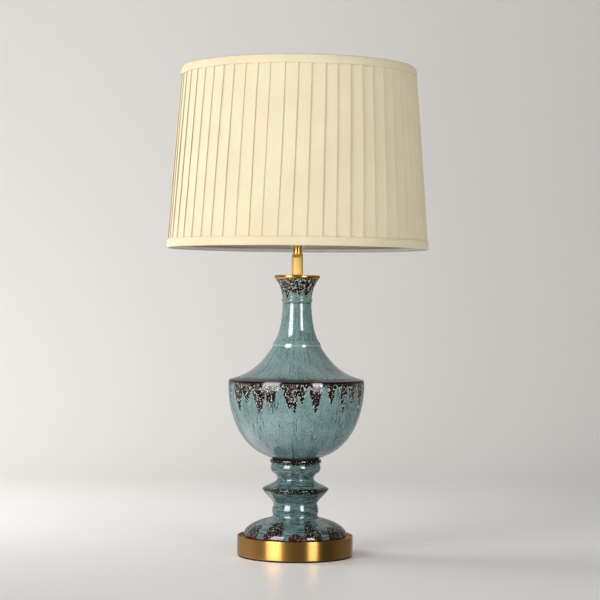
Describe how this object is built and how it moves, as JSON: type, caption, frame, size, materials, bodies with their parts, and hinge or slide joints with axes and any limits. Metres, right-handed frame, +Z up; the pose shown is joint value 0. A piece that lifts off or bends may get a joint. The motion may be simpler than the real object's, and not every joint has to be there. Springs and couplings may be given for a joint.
{
  "type": "table lamp",
  "caption": "Table lamp with a glazed urn-shaped body on a round metal base and a pleated fabric drum shade held by a harp and finial.",
  "frame": {"origin": "centre of the face that the lamp stands on", "axes": "+Z up the lamp's axis; -Y is the front, the cord inlet is at the back, +Y; the harp stands in the XZ plane"},
  "size_m": [0.3999, 0.4, 0.742],
  "materials": {
    "foam_pad": "black foam",
    "brass": "satin, lacquered",
    "iron": "rough casting",
    "black_plastic": "moulded",
    "zinc_steel": "zinc plated",
    "glaze": "glossy reactive glaze with dark drips",
    "gasket_rubber": "dull",
    "harp_wire": "brass-plated wire",
    "socket_brass": "bright stamped sheet",
    "insulating_board": "dull",
    "bakelite": "moulded",
    "shell_aluminium": "rolled thread",
    "bulb_glass": "frosted",
    "black_glass": "glossy",
    "solder": "solder",
    "mount_glass": "clear",
    "white_wire": "white powder coat",
    "liner": "white styrene",
    "pleated_cloth": "knife-pleated cream cloth",
    "trim_cloth": "folded cloth band"
  },
  "bodies": {
    "lamp": {"base_pad": "foam_pad", "brass_base": "brass", "base_weight": "iron", "cord_bushing": "black_plastic", "lock_washer": "zinc_steel", "base_nut": "zinc_steel", "threaded_rod": "zinc_steel", "pedestal_foot": "glaze", "body_gasket": "gasket_rubber", "urn_body": "glaze", "neck_cap": "brass", "lower_tube": "brass", "upper_tube": "brass", "harp_saddle": "brass", "harp": "harp_wire", "harp_stud": "harp_wire", "socket_cap": "socket_brass", "socket_shell": "socket_brass", "socket_insulator": "insulating_board", "switch_housing": "bakelite", "screw_shell": "shell_aluminium", "centre_contact": "socket_brass", "terminal_screws": "socket_brass"},
    "left_sleeve": {"harp_sleeve_left": "brass"},
    "right_sleeve": {"harp_sleeve_right": "brass"},
    "key": {"switch_key": "bakelite"},
    "shade": {"shade_spider": "white_wire", "shade_top_ring": "white_wire", "shade_bottom_ring": "white_wire", "shade_liner": "liner", "shade_fabric": "pleated_cloth", "shade_top_trim": "trim_cloth", "shade_bottom_trim": "trim_cloth"},
    "finial_foot": {"finial_bush": "brass"},
    "finial": {"finial_knob": "brass"},
    "bulb_foot": {"bulb_contact": "solder"},
    "bulb": {"bulb_glass": "bulb_glass", "bulb_cap": "shell_aluminium", "bulb_insulator": "black_glass", "bulb_mount": "mount_glass"}
  },
  "joints": [
    {"name": "shade_spin", "type": "hinge", "parent": "lamp", "child": "shade", "pos_m": [0, 0, 0.715], "axis": [0, 0, 1], "continuous": true},
    {"name": "finial_lift", "type": "slide", "parent": "lamp", "child": "finial_foot", "axis": [0, 0, 1], "range_m": [0, 0.00564]},
    {"name": "finial_turn", "type": "hinge", "parent": "finial_foot", "child": "finial", "pos_m": [0, 0, 0.722], "axis": [0, 0, 1], "range_deg": [0, 2160]},
    {"name": "bulb_lift", "type": "slide", "parent": "lamp", "child": "bulb_foot", "axis": [0, 0, 1], "range_m": [0, 0.0181]},
    {"name": "bulb_turn", "type": "hinge", "parent": "bulb_foot", "child": "bulb", "pos_m": [0, 0, 0.53], "axis": [0, 0, 1], "range_deg": [0, 1800]},
    {"name": "switch_turn", "type": "hinge", "parent": "lamp", "child": "key", "pos_m": [0, -0.02, 0.516], "axis": [0, -1, 0], "continuous": true},
    {"name": "left_sleeve_lift", "type": "slide", "parent": "lamp", "child": "left_sleeve", "axis": [0, 0, 1], "range_m": [0, 0.012]},
    {"name": "right_sleeve_lift", "type": "slide", "parent": "lamp", "child": "right_sleeve", "axis": [0, 0, 1], "range_m": [0, 0.012]}
  ],
  "couplings": [
    {"joint": "finial_lift", "follows": "finial_turn", "m_per_rad": 0.00014961},
    {"joint": "bulb_lift", "follows": "bulb_turn", "m_per_rad": 0.00057614}
  ]
}
